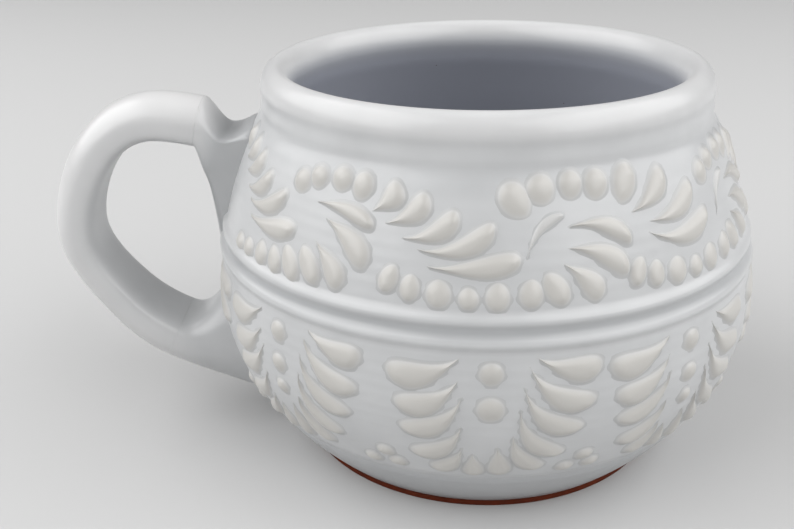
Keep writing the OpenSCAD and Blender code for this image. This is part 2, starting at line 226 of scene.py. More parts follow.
def make_piece(
    name: str, surface: Surface, material: bpy.types.Material, nodes: Sequence[str]
) -> bpy.types.Object:
    """Makes one piece that rides on the mug and stands for CAD nodes.

    Args:
        name: name of the piece.
        surface: its points and faces in millimetres.
        material: its finish.
        nodes: the CAD nodes that it stands for.

    Returns:
        The new object, at the origin.
    """
    mesh = bpy.data.meshes.new(name)
    faces = surface.quads.tolist() + surface.triangles.tolist()
    mesh.from_pydata((surface.points * MM).tolist(), [], faces)
    mesh.polygons.foreach_set("use_smooth", np.ones(len(faces), bool))
    attribute = mesh.attributes.new(COAT, "FLOAT_COLOR", "POINT")
    rgba = np.concatenate([surface.coat, np.ones((len(surface.coat), 1))], axis=1)
    attribute.data.foreach_set("color", rgba.astype(np.float32).ravel())
    mesh.materials.append(material)
    mesh.validate()
    piece = bpy.data.objects.new(name, mesh)
    bpy.context.scene.collection.objects.link(piece)
    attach(piece, BODY)
    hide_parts(*nodes)
    LOG.info("%s: %d faces for %d node(s)", name, len(faces), len(nodes))
    return piece


@dataclass(frozen=True)
class ThrownWall:
    """The thrown wall of the mug, from its bare base round the lip to the inner floor."""

    height: float = 85.0
    belly_r: float = 58.5
    belly_share: float = 0.412
    foot_r: float = 41.0
    neck_r: float = 47.4
    neck_drop: float = 9.5
    wall_t: float = 5.0
    floor_z: float = 7.0
    floor_r: float = 32.0
    lip_t: float = 6.4
    lip_rise: float = 4.9
    ridge_share: float = 0.599
    ridge_apart: float = 4.0
    ridge_h: float = 0.8
    ridge_w: float = 1.7
    groove_share: float = 0.169
    groove_d: float = 0.4
    groove_w: float = 1.6
    foot_h: float = 1.4
    low_power: float = 1.96
    high_power: float = 1.9
    floor_power: float = 4.0
    # Soft step under the lip and throwing line below it: level, depth and half width
    lip_edge: tuple[float, float, float] = (78.9, 0.3, 2.2)
    throw_line: tuple[float, float, float] = (74.2, 0.12, 1.2)
    # How much lower the handmade rim stands at the back, and where the wall starts to lean to it
    rim_dip: float = 1.1
    dip_from: float = 66.0
    # Marks of the potter's fingers: height of the wave and its pitch along the wall
    finger_h: float = 0.035
    finger_pitch: float = 2.3
    # Points round the wall and along its outline
    around: int = 400
    outside_rows: int = 132
    lip_rows: int = 18
    inside_rows: int = 34
    floor_rows: int = 10
    # How far pooled glaze and painted shade reach from a stroke, over how many reaches it is worked out,
    # and their share
    pool_and_shade_reach: float = 1.1
    pool_and_shade_window: float = 6.0
    pooled_and_shade_by_strokes: float = 0.5
    # Share of pooled glaze between the ridges and at the neck, and of pooled glaze with painted shade
    # below the groove
    pooled_by_ridges: float = 0.7
    pooled_at_neck: float = 0.2
    pooled_and_shade_low: float = 0.6
    # The neck's pool: how far below the neck its middle lies, and its half height
    neck_pool: tuple[float, float] = (2.0, 4.0)
    # The low pool of glaze and painted shade fades in from this far above the groove to this far below
    # it
    groove_fade: float = 1.0
    # Share of thin white glaze on the lip, and from where to where beside the lip's start it fades in
    thin_on_lip: float = 0.25
    lip_fade: tuple[float, float] = (-1.0, 2.0)
    # How far below the rim the inside's painted shade starts
    inside_shade_from: float = 1.5

    @property
    def belly_z(self) -> float:
        """Height of the widest point."""
        return self.height * self.belly_share

    @property
    def neck_z(self) -> float:
        """Height of the neck under the lip."""
        return self.height - self.neck_drop

    @property
    def ridge_high_z(self) -> float:
        """Height of the upper ridge."""
        return self.height * self.ridge_share

    @property
    def ridge_low_z(self) -> float:
        """Height of the lower ridge."""
        return self.ridge_high_z - self.ridge_apart

    @property
    def lip_z(self) -> float:
        """Height at which the lip's rounding starts."""
        return self.height - self.lip_rise

    @property
    def groove_z(self) -> float:
        """Height of the groove under the lower frieze."""
        return self.height * self.groove_share

    def curve(self, z: np.ndarray) -> np.ndarray:
        """Radius of the plain outside: the belly's radius less a power of the way off the belly.

        Args:
            z: heights.

        Returns:
            The radius at each.
        """
        z = np.asarray(z, float)
        down = np.maximum(self.belly_z - z, 0) / (self.belly_z - self.foot_h)
        up = np.clip((z - self.belly_z) / (self.neck_z - self.belly_z), 0, 1)
        low = (self.belly_r - self.foot_r) * down**self.low_power
        return self.belly_r - low - (self.belly_r - self.neck_r) * up**self.high_power

    def between_ridges(self, z: np.ndarray) -> np.ndarray:
        """Radius of the outside with its groove and the soft marks of throwing, but no ridges.

        Args:
            z: heights.

        Returns:
            The radius at each.
        """
        z = np.asarray(z, float)
        groove = band(z, self.groove_z, self.groove_w)
        soft = sum(depth * band(z, at, half) for at, depth, half in (self.lip_edge, self.throw_line))
        return self.curve(z) - self.groove_d * groove - soft

    def radius(self, z: np.ndarray) -> np.ndarray:
        """Radius of the outside with its two ridges."""
        ridges = band(z, self.ridge_low_z, self.ridge_w) + band(z, self.ridge_high_z, self.ridge_w)
        return self.between_ridges(z) + self.ridge_h * ridges

    def slope(self, z: np.ndarray) -> np.ndarray:
        """How fast the plain outside's radius grows with the height."""
        step = 0.5
        return (self.curve(z + step) - self.curve(z - step)) / (2 * step)

    def inner_radius(self, z: np.ndarray) -> np.ndarray:
        """Radius of the inside: the outside less the wall, and below the belly a steep power curve.

        Args:
            z: heights.

        Returns:
            The radius at each.
        """
        z = np.asarray(z, float)
        down = np.clip((self.belly_z - z) / (self.belly_z - self.floor_z), 0, 1)
        bowl = (self.belly_r - self.wall_t - self.floor_r) * down**self.floor_power
        return np.where(
            z > self.belly_z, self.curve(z) - self.wall_t, self.belly_r - self.wall_t - bowl
        )

    def on_wall(self, angle: np.ndarray, z: np.ndarray, lift: np.ndarray) -> np.ndarray:
        """Points lifted square off the wall between its ridges, so that strokes run into a ridge.

        Args:
            angle: angles round the mug.
            z: heights on the wall.
            lift: distances out of it.

        Returns:
            x, y and z of each point.
        """
        slope = self.slope(z)
        length = np.sqrt(1 + slope**2)
        r = self.between_ridges(z) + lift / length
        return round_axis(r, np.radians(angle), z - lift * slope / length)

    def outline(self) -> np.ndarray:
        """The wall's outline, from under the wall over the lip to the inner floor's middle.

        Returns:
            Radius and height of each point.
        """
        outside_z = np.linspace(self.foot_h, self.lip_z, self.outside_rows)
        outside = np.stack([self.radius(outside_z), outside_z], axis=-1)
        t = np.linspace(0, np.pi, self.lip_rows + 2)[1:-1]
        lip_r = self.neck_r - self.lip_t / 2
        lip = np.stack(
            [lip_r + self.lip_t / 2 * np.cos(t), self.lip_z + self.lip_rise * np.sin(t)], axis=-1
        )
        inside_z = np.linspace(self.lip_z, self.belly_z, self.inside_rows)
        lip_inside = self.neck_r - self.lip_t
        blend = ramp(inside_z, self.neck_z, self.lip_z)
        inside_r = self.inner_radius(inside_z) * (1 - blend) + lip_inside * blend
        inside = np.stack([inside_r, inside_z], axis=-1)
        drop = np.sqrt(np.linspace(0, 1, self.inside_rows + 1)[1:])
        bowl_z = self.belly_z + (self.floor_z - self.belly_z) * drop
        bowl = np.stack([self.inner_radius(bowl_z), bowl_z], axis=-1)
        floor_r = np.linspace(self.floor_r, 0, self.floor_rows + 1)[1:-1]
        floor = np.stack([floor_r, np.full(len(floor_r), self.floor_z)], axis=-1)
        base_r = np.linspace(0, outside[0, 0], self.floor_rows + 1)[1:-1]
        base = np.stack([base_r, np.full(len(base_r), self.foot_h)], axis=-1)
        return np.concatenate([base, outside, lip, inside, bowl, floor])

    def pooled(self, z: np.ndarray) -> np.ndarray:
        """Share of pooled glaze: bands between the ridges and at the neck, and a ramp by the groove of
        pooled glaze with painted shade low on the wall.

        Args:
            z: heights on the wall.

        Returns:
            The share at each.
        """
        between = (self.ridge_high_z + self.ridge_low_z) / 2
        return (
            self.pooled_by_ridges * band(z, between, self.ridge_apart / 2)
            + self.pooled_at_neck * band(z, self.neck_z - self.neck_pool[0], self.neck_pool[1])
            + self.pooled_and_shade_low * ramp(self.groove_z - z, -self.groove_fade, self.groove_fade)
        )

    def surface(self, strokes: Sequence["Stroke"]) -> Surface:
        """The wall turned round its axis, with finger marks, the glaze's thickness and painted shade.

        A finger mark is a spiral wave: finger_h * sin(2 pi z / finger_pitch + angle), which fades out
        towards the base and the rim. The rim leans down by rim_dip * ramp * (1 - cos angle) / 2.

        Args:
            strokes: the slip strokes, beside which the glaze has pooled and shade is painted.

        Returns:
            The closed wall.
        """
        outline = self.outline()
        angle = np.linspace(0, 360, self.around, endpoint=False)
        r, turn = np.meshgrid(outline[:, 0], np.radians(angle), indexing="ij")
        z = np.repeat(outline[:, 1:], self.around, axis=1)
        first_out = self.floor_rows - 1
        outside = slice(first_out, first_out + self.outside_rows)
        first_in = first_out + self.outside_rows + self.lip_rows // 2
        wave = np.sin(2 * np.pi * z / self.finger_pitch + turn) * self.finger_h
        fade = band(z, self.height / 2, self.height / 2)
        r = r + wave * fade * (r > self.floor_r / 2)
        z = z - self.rim_dip * ramp(z, self.dip_from, self.height) * (1 - np.cos(turn)) / 2
        coat = np.zeros((*z.shape, 3))
        coat[..., 0] = self.pooled(z)
        coat[..., 1] = self.thin_on_lip * ramp(z - self.lip_z, *self.lip_fade)
        # Blue is painted shade inside the mug, from a little below the rim down to the neck's depth
        below_rim = self.height - outline[first_in:, 1:]
        coat[first_in:, :, 2] = ramp(below_rim, self.inside_shade_from, self.neck_drop)
        # Red beside the strokes is pooled glaze with painted shade round them
        by_strokes = self.pooled_and_shade_by_strokes * self.pooling_and_shade(outline[outside, 1], angle, strokes)
        coat[outside, :, 0] = np.maximum(coat[outside, :, 0], by_strokes)
        ends = np.array([[0, 0, self.foot_h], [0, 0, self.floor_z]])
        return capped_rings(round_axis(r, turn, z), coat, ends)

    def pooling_and_shade(
        self, heights: np.ndarray, angles: np.ndarray, strokes: Sequence["Stroke"]
    ) -> np.ndarray:
        """How thick the glaze stands and how much shade is painted beside the strokes: exp(-(distance /
        pool_and_shade_reach)^2).

        Args:
            heights: heights of the wall's rows.
            angles: angles of its columns.
            strokes: the strokes.

        Returns:
            A share from 0 to 1 for each row and column.
        """
        pool = np.zeros((len(heights), len(angles)))
        window = self.pool_and_shade_window * self.pool_and_shade_reach
        for stroke in strokes:
            mm, spine, half = stroke.spine(self)
            side = (angles - stroke.tail[0] + 180) % 360 - 180
            rows = np.flatnonzero(np.abs(heights - spine[:, 1].mean()) < np.ptp(spine[:, 1]) + window)
            near = np.abs(side * mm - spine[:, 0].mean()) < np.ptp(spine[:, 0]) + window
            columns = np.flatnonzero(near)
            u = (side[columns] * mm)[None, :, None] - spine[:, 0]
            v = heights[rows][:, None, None] - spine[:, 1]
            away = np.maximum(0, (np.hypot(u, v) - half).min(axis=2))
            cell = np.ix_(rows, columns)
            pool[cell] = np.maximum(pool[cell], np.exp(-((away / self.pool_and_shade_reach) ** 2)))
        return pool


@dataclass(frozen=True)
class Stroke:
    """One stroke of slip, trailed from its thick head to its tail; each end is an angle and a height."""

    head: tuple[float, float]
    tail: tuple[float, float]
    width: float
    # How far its middle bows aside, as a share of its length
    bend: float
    taper: Taper
    # Height of the dome over the wall, and how white its slip shows
    crown: float = 1.0
    whiteness: float = 1.0
    # Points round the outline, and the width share of each ring from the wall up to the spine
    around: int = 36
    width_shares: tuple[float, ...] = (1.0, 0.9, 0.75, 0.55, 0.35, 0.16, 0.0)
    # Its ends draw in by this share of what its sides do, so that the head is a round dome
    end_share: float = 0.98
    # The dome: its rise at the edge and at the tail, and the powers that round its top and its sides
    edge_rise: float = 0.07
    tail_rise: float = 0.15
    top_power: float = 2.5
    side_power: float = 1.25
    # White at the edge, where the slip is thin, pooled glaze with painted shade round the edge, and how
    # far in it is fully white
    edge_white: float = 0.35
    edge_pooled_and_shade: float = 0.5
    white_from: float = 0.35
    # Glaze runs this far off the stroke in a fillet, and the piece goes this deep into the wall
    skirt: float = 0.8
    sunk: float = 0.06
    base_depth: float = 0.5
    # A ring here on the fillet keeps the hidden sides from tilting the normals of what shows
    hold_share: float = 0.96

    def run(self, wall: ThrownWall) -> tuple[float, float, float, float]:
        """How the stroke lies on the wall.

        Args:
            wall: the wall that carries it.

        Returns:
            Millimetres per degree, the way from tail to head along and up the wall, and its length.
        """
        mm = float(np.pi * wall.radius((self.head[1] + self.tail[1]) / 2) / 180)
        u = (self.head[0] - self.tail[0]) * mm
        v = self.head[1] - self.tail[1]
        return mm, u, v, float(np.hypot(u, v))

    def flat(self, long: float, len_share: float, wid_share: float) -> np.ndarray:
        """Outline in the stroke's own plane, drawn in towards its spine.

        x is length * sin(t / 2)^blunt, drawn in towards the middle. y is width / 2 * sin t *
        sin(t / 2)^taper over that product's peak, plus the bend, bend * 4 x (1 - x / length).

        Args:
            long: length of the stroke.
            len_share: share of the length that is left.
            wid_share: share of the width that is left.

        Returns:
            x and y of each point.
        """
        t = np.linspace(0, 2 * np.pi, self.around, endpoint=False)
        taper, blunt = self.taper.value
        peak = 2 * ((taper + 1) / (taper + 2)) ** ((taper + 1) / 2) / np.sqrt(taper + 2)
        x = long / 2 + long * (np.sin(t / 2) ** blunt - 1 / 2) * len_share
        side = self.width / 2 * np.sin(t) * np.sin(t / 2) ** taper / peak * wid_share
        return np.stack([x, side + self.bend * 4 * x * (1 - x / long)], axis=-1)

    def unrolled(self, wall: ThrownWall, flat: np.ndarray) -> np.ndarray:
        """Turns points of the stroke's plane into ways along and up the wall from its tail.

        Args:
            wall: the wall.
            flat: x along the stroke and y across it.

        Returns:
            Both ways of each point, in millimetres.
        """
        _, u, v, long = self.run(wall)
        x, y = flat[..., 0], flat[..., 1]
        return np.stack([x * u - y * v, x * v + y * u], axis=-1) / long

    def placed(self, wall: ThrownWall, flat: np.ndarray, lift: np.ndarray) -> np.ndarray:
        """Points of the stroke's plane laid on the wall.

        Args:
            wall: the wall.
            flat: x along the stroke and y across it.
            lift: distance of each point out of the wall.

        Returns:
            x, y and z of each point.
        """
        mm = self.run(wall)[0]
        way = self.unrolled(wall, flat)
        return wall.on_wall(self.tail[0] + way[..., 0] / mm, self.tail[1] + way[..., 1], lift)

    def spine(self, wall: ThrownWall) -> tuple[float, np.ndarray, np.ndarray]:
        """Spots down the stroke's middle, halfway between the two sides of its outline.

        Args:
            wall: the wall that carries it.

        Returns:
            Millimetres per degree, the spots along and up the wall from the tail, and half widths.
        """
        mm, _, _, long = self.run(wall)
        count = self.around // 2 + 1
        outline = self.flat(long, 1, 1)
        one, other = outline[:count], np.roll(outline[::-1], 1, axis=0)[:count]
        middle = (one + other) / 2
        half = np.hypot(*(one - other).T) / 2
        middle[:, 0] = np.clip(middle[:, 0], half, long - half)
        return mm, self.unrolled(wall, middle), half

    def surface(self, wall: ThrownWall) -> Surface:
        """The stroke as a low dome that runs out into the wall in a fillet.

        At the share w of the width the dome stands crown * (edge_rise + (1 - edge_rise) *
        (1 - w^top_power)^side_power) over the wall. Towards the tail it sinks to the share tail_rise
        of that, with the square root of the way along.

        Args:
            wall: the wall that carries it.

        Returns:
            The closed stroke.
        """
        long = self.run(wall)[3]
        width = np.array(self.width_shares)
        blunt = self.end_share * min(1, self.width / long)
        rings = np.stack([self.flat(long, 1 - (1 - w) * blunt, w) for w in width])
        edge = rings[0]
        along = np.roll(edge, -1, axis=0) - np.roll(edge, 1, axis=0)
        out = np.stack([-along[:, 1], along[:, 0]], axis=-1)
        out /= np.linalg.norm(out, axis=1)[:, None]
        skirt = edge + out * self.skirt
        hold = edge + out * self.skirt * self.hold_share
        plan = np.concatenate([[skirt, skirt, hold], rings])
        dome = self.edge_rise + (1 - self.edge_rise) * (1 - width**self.top_power) ** self.side_power
        way = np.sqrt(np.clip(rings[..., 0] / long, 0, 1))
        top = self.crown * dome[:, None] * (self.tail_rise + (1 - self.tail_rise) * way)
        base, foot = (np.full(self.around, -depth) for depth in (self.base_depth, self.sunk))
        on_hold = foot * self.hold_share + top[0] * (1 - self.hold_share)
        lift = np.concatenate([[base, foot, on_hold], top])
        white = self.edge_white + (1 - self.edge_white) * ramp(1 - width, 0, self.white_from)
        under = len(plan) - len(rings)
        coat = np.zeros((*lift.shape, 3))
        coat[under:, :, 1] = white[:, None] * self.whiteness
        # Red on the fillet and the stroke's edge is pooled glaze with painted shade round the stroke
        coat[: under + 1, :, 0] = self.edge_pooled_and_shade
        return self.closed(self.placed(wall, plan, lift), coat)

    def closed(self, rings: np.ndarray, coat: np.ndarray) -> Surface:
        """Joins the rings, strips the base across and folds the last ring into the spine.

        Args:
            rings: the rings' points, from the base up.
            coat: the colour of each.

        Returns:
            The closed surface.
        """
        n = self.around
        quads = ring_quads(len(rings), n)
        top = (len(rings) - 1) * n
        folded = np.arange(n)
        folded[n // 2 + 1 :] = n - folded[n // 2 + 1 :]
        number = np.arange(len(rings) * n)
        number[top:] = top + folded
        k = np.arange(n // 2)
        base = np.stack([k, k + 1, (n - k - 1) % n, (n - k) % n], axis=-1)
        quads = number[np.concatenate([quads, base])]
        corners = np.array([len(set(q)) for q in quads.tolist()])
        whole, halved = quads[corners == 4], quads[corners == 3]
        triangles = np.array([list(dict.fromkeys(q)) for q in halved.tolist()])
        keep = top + n // 2 + 1
        return Surface(
            rings.reshape(-1, 3)[:keep],
            whole,
            triangles.reshape(-1, 3),
            coat.reshape(-1, 3)[:keep],
        ).turned_outwards()


def dot(angle: float, z: float, r: float, wall: ThrownWall) -> Stroke:
    """A round dot of slip, as a stroke as long as it is wide.

    Args:
        angle: angle of its middle.
        z: height of its middle.
        r: its radius.
        wall: the wall that carries it.

    Returns:
        The dot.
    """
    up = r / float(np.sqrt(1 + wall.slope(z) ** 2))
    return Stroke((angle, z + up), (angle, z - up), width=2 * r, bend=0, taper=Taper.DOT)


def is_clear(angle: float) -> bool:
    """Whether an angle lies off the handle, where slip was trailed."""
    clear = 11.0
    return HANDLE_ANGLE + clear < angle < HANDLE_ANGLE + 360 - clear


@dataclass(frozen=True)
class Frieze:
    """Strokes of slip that repeat round the mug, from one side of the handle to the other."""

    wall: ThrownWall
    count: int = 2
    # Angles from the handle to the first place, and from the last place on to the handle
    first_angle: float = 0.0
    last_angle: float = 0.0

    @property
    def low_z(self) -> float:
        """Height of its foot."""
        raise NotImplementedError

    @property
    def top_z(self) -> float:
        """Height of its top."""
        raise NotImplementedError

    @property
    def tall(self) -> float:
        """Height from its foot to its top."""
        return self.top_z - self.low_z

    @property
    def pitch(self) -> float:
        """Angle from one place to the next."""
        return (360 - self.first_angle - self.last_angle) / (self.count - 1)

    def place(self, i: float) -> float:
        """Angle of place i, the first being 1."""
        return HANDLE_ANGLE + self.first_angle + self.pitch * (i - 1)

    def up(self, share: float) -> float:
        """Height at a share of the way from its foot to its top."""
        return self.low_z + self.tall * share

    def strokes(self, table: Table, start: float, turn: float) -> list[Stroke]:
        """Strokes of a table that lie clear of the handle.

        Args:
            table: for each stroke the angle and height share of its head, those of its tail, its
                width share and bend, and 0 where it is a bead and no leaf.
            start: angle from which the table's angles count.
            turn: degrees in one unit of them.

        Returns:
            The strokes.
        """
        made = []
        for head, head_up, tail, tail_up, width, bend, *leaf in table:
            head_angle, tail_angle = start + head * turn, start + tail * turn
            if is_clear(head_angle) and is_clear(tail_angle):
                ends = (head_angle, self.up(head_up)), (tail_angle, self.up(tail_up))
                taper = Taper.LEAF if all(leaf) else Taper.BEAD
                made.append(Stroke(*ends, self.tall * width, bend, taper))
        return made


@dataclass(frozen=True)
class ScrollFrieze(Frieze):
    """The upper frieze: crests and troughs of beads and leaves along a scrolling stem."""

    count: int = 8
    first_angle: float = -2.5
    last_angle: float = 31.75
    # Gaps over the upper ridge and under the neck
    low_gap: float = 1.6
    neck_gap: float = 0.5
    # Angle that one scroll takes in the tables, and from a crest's start back to its trough's
    table_pitch: float = 47.25
    trough_back: float = 23.0
    # The thin blade inside a scroll: head and tail, each as shares of pitch and height, and its bend
    blade_shares: tuple[float, ...] = (0.21, 0.695, 0.055, 0.39, 0.16)
    blade_w: float = 1.9
    blade_h: float = 0.5
    blade_whiteness: float = 0.45
    # Every one of this many crests is drawn from the second table
    other_crest_every: int = 3
    crest_a: Table = (
        (-0.5, 0.86, 1, 0.67, 0.205, 0, 0),
        (5, 0.92, 4.5, 0.74, 0.2, 0, 0),
        (11.3, 0.95, 10.5, 0.76, 0.21, 0, 0),
        (17, 0.94, 15.5, 0.73, 0.2, 0, 0),
        (25, 0.88, 19.2, 0.67, 0.2, -0.07, 1),
        (31, 0.82, 22.5, 0.6, 0.19, -0.1, 1),
        (37, 0.71, 26.3, 0.51, 0.18, -0.12, 1),
        (44, 0.63, 29.3, 0.44, 0.18, -0.13, 1),
        (48.8, 0.39, 31.5, 0.32, 0.185, -0.05, 1),
    )
    crest_b: Table = (
        (-2, 0.92, 3, 0.7, 0.24, 0, 0),
        (4.5, 0.98, 7, 0.77, 0.23, 0, 0),
        (12.5, 1, 11.5, 0.79, 0.195, 0, 0),
        (18.5, 0.99, 16.5, 0.77, 0.21, 0, 0),
        (25.8, 1, 22.5, 0.72, 0.22, 0, 0),
        (34.8, 0.9, 24.5, 0.64, 0.2, -0.1, 1),
        (42.5, 0.73, 28.5, 0.55, 0.195, -0.12, 1),
        (46, 0.48, 28, 0.47, 0.2, -0.14, 1),
    )
    trough_a: Table = (
        (-1, 0.09, 1.2, 0.31, 0.165, 0, 0),
        (4, 0.04, 4.5, 0.26, 0.17, 0, 0),
        (9.7, 0.01, 9.5, 0.24, 0.215, 0, 0),
        (15.2, 0.01, 14.8, 0.19, 0.17, 0, 0),
        (20, 0, 20.4, 0.23, 0.2, 0, 0),
        (26, 0.02, 26.4, 0.25, 0.2, 0, 0),
        (32.7, 0.04, 28.8, 0.28, 0.2, 0, 0),
        (39.5, 0.06, 32.3, 0.34, 0.2, 0.06, 1),
        (45.5, 0.22, 33.2, 0.45, 0.19, 0.1, 1),
        (46.8, 0.44, 33.8, 0.6, 0.155, 0.13, 1),
    )
    trough_b: Table = (
        (5, -0.03, 5.3, 0.13, 0.195, 0, 0),
        (9.8, -0.03, 9.5, 0.15, 0.19, 0, 0),
        (15.3, -0.03, 14.7, 0.19, 0.2, 0, 0),
        (21, -0.03, 18.7, 0.2, 0.185, 0, 0),
        (26.7, -0.02, 22.6, 0.25, 0.2, 0, 0),
        (32.2, 0.02, 27.2, 0.29, 0.2, 0, 0),
        (37.8, 0.05, 30.4, 0.36, 0.21, 0.05, 1),
        (42.8, 0.26, 31.8, 0.55, 0.22, 0.08, 1),
        (43.2, 0.56, 28.8, 0.65, 0.14, 0.07, 1),
    )

    @property
    def low_z(self) -> float:
        """Foot of the frieze."""
        return self.wall.ridge_high_z + self.low_gap

    @property
    def top_z(self) -> float:
        """Top of the frieze."""
        return self.wall.neck_z - self.neck_gap

    def blade(self, i: int) -> Stroke:
        """The faint blade inside scroll i + 2, trailed thin enough to show the glaze's grey.

        Args:
            i: number of the stem that it stands for.

        Returns:
            The blade.
        """
        head, head_up, tail, tail_up, bend = self.blade_shares
        scroll = i + 2
        return Stroke(
            (self.place(scroll + head), self.up(head_up)),
            (self.place(scroll + tail), self.up(tail_up)),
            self.blade_w,
            bend,
            Taper.LEAF,
            self.blade_h,
            self.blade_whiteness,
        )

    def nodes(self) -> dict[str, list[Stroke]]:
        """Works out the strokes of each crest, trough and stem.

        Returns:
            The strokes by CAD node.
        """
        turn = self.pitch / self.table_pitch
        made = {}
        for i in range(1, self.count + 1):
            table = self.crest_a if i % self.other_crest_every else self.crest_b
            made[f"scroll_crest_{i}"] = self.strokes(table, self.place(i), turn)
        for i in range(1, self.count):
            table = self.trough_b if i == 1 else self.trough_a
            start = self.place(i + 1) - self.trough_back * turn
            made[f"scroll_trough_{i}"] = self.strokes(table, start, turn)
        for i in range(1, self.count - 1):
            made[f"scroll_stem_{i}"] = [self.blade(i)]
        return made


@dataclass(frozen=True)
class PalmetteFrieze(Frieze):
    """The lower frieze: palmettes with dots on their middles and berries between them."""

    count: int = 9
    first_angle: float = 4.3
    last_angle: float = 19.7
    # Height of its foot as a share of the mug's, and the gap under the lower ridge
    low_share: float = 0.206
    top_gap: float = 2.5
    dot_r: float = 2.7
    berry_r: float = 1.9
    # Petals: a table of strokes whose angles are shares of the half pitch
    petals: Table = (
        (-0.9, 0.85, -0.26, 1, 0.215, 0.13),
        (-0.82, 0.61, -0.27, 0.84, 0.21, 0.16),
        (-0.78, 0.41, -0.24, 0.71, 0.195, 0.18),
        (-0.7, 0.18, -0.24, 0.48, 0.185, 0.18),
        (-0.52, 0.01, -0.24, 0.27, 0.165, 0.14),
        (0.95, 0.89, 0.37, 1, 0.2, -0.1),
        (0.9, 0.63, 0.32, 0.93, 0.2, -0.16),
        (0.81, 0.42, 0.28, 0.78, 0.185, -0.18),
        (0.67, 0.19, 0.25, 0.62, 0.17, -0.18),
        (0.5, 0.04, 0.2, 0.41, 0.165, -0.15),
        (-0.13, -0.04, -0.15, 0.22, 0.16, 0),
        (0.12, -0.03, 0.07, 0.29, 0.175, 0),
    )
    # Dots of a row: height and radius as shares, with one row that has only two
    dot_shares: Table = ((0.88, 0.84), (0.63, 0.8), (0.43, 0.68))
    short_dot_shares: Table = ((0.885, 0.87), (0.62, 1))
    short_row: int = 2
    # Berries of a cluster: angle as a share of the half pitch, and height
    berry_shares: Table = ((-0.13, 0.02), (0.03, 0.135), (0.13, 0.03))
    # How far each palmette and each cluster stands off its even place, as a share of the pitch
    palm_sway: tuple[float, ...] = (0, -0.035, 0, -0.04, 0.02, -0.025, 0.03, -0.02, 0)
    berry_sway: tuple[float, ...] = (0, 0, -0.065, -0.02, 0.02, -0.03, 0.02, 0)

    @property
    def low_z(self) -> float:
        """Foot of the frieze."""
        return self.wall.height * self.low_share

    @property
    def top_z(self) -> float:
        """Top of the frieze."""
        return self.wall.ridge_low_z - self.top_gap

    def middle(self, i: int) -> float:
        """Angle of palmette i's middle."""
        return self.place(i + self.palm_sway[i - 1])

    def dots_of(self, i: int) -> list[Stroke]:
        """Dots of row i, on the middle of the palmette after palmette i.

        Args:
            i: number of the row.

        Returns:
            The dots.
        """
        row = self.short_dot_shares if i == self.short_row else self.dot_shares
        at = self.middle(i + 1)
        return [dot(at, self.up(up), self.dot_r * size, self.wall) for up, size in row]

    def berries_of(self, i: int) -> list[Stroke]:
        """Berries of cluster i, about midway between palmette i and the next.

        Args:
            i: number of the cluster.

        Returns:
            The berries.
        """
        at = self.place(i + 1 / 2 + self.berry_sway[i - 1])
        half = self.pitch / 2
        return [dot(at + half * a, self.up(up), self.berry_r, self.wall) for a, up in self.berry_shares]

    def nodes(self) -> dict[str, list[Stroke]]:
        """Works out the strokes of each palmette, row of dots and berry cluster.

        Returns:
            The strokes by CAD node.
        """
        made = {}
        for i in range(1, self.count + 1):
            made[f"palmette_{i}"] = self.strokes(self.petals, self.middle(i), self.pitch / 2)
        for i in range(1, self.count):
            made[f"palmette_dots_{i}"] = self.dots_of(i)
            made[f"berry_cluster_{i}"] = self.berries_of(i)
        return made


@dataclass(frozen=True)
class JointClay:
    """Clay smeared from one end of the strap over the wall."""

    # How far it reaches up the wall past the centre line on the strap's outer and its inner side
    outer: float
    inner: float
    # Its width on the wall, and the share of that lost at the end of its inner side
    wide: float
    narrow: float
    # Power of its inner side's flare
    flare: float
    # How much pooled glaze and painted shade it has: shade in the recess under the strap's top end, less
    # at its lower root
    pooled: float
    # Shares of the way to the wall over which its outer side drops, or None where it goes evenly
    step: tuple[float, float] | None = None
    # Depth of the saddle in its outer side
    saddle: float = 0.0


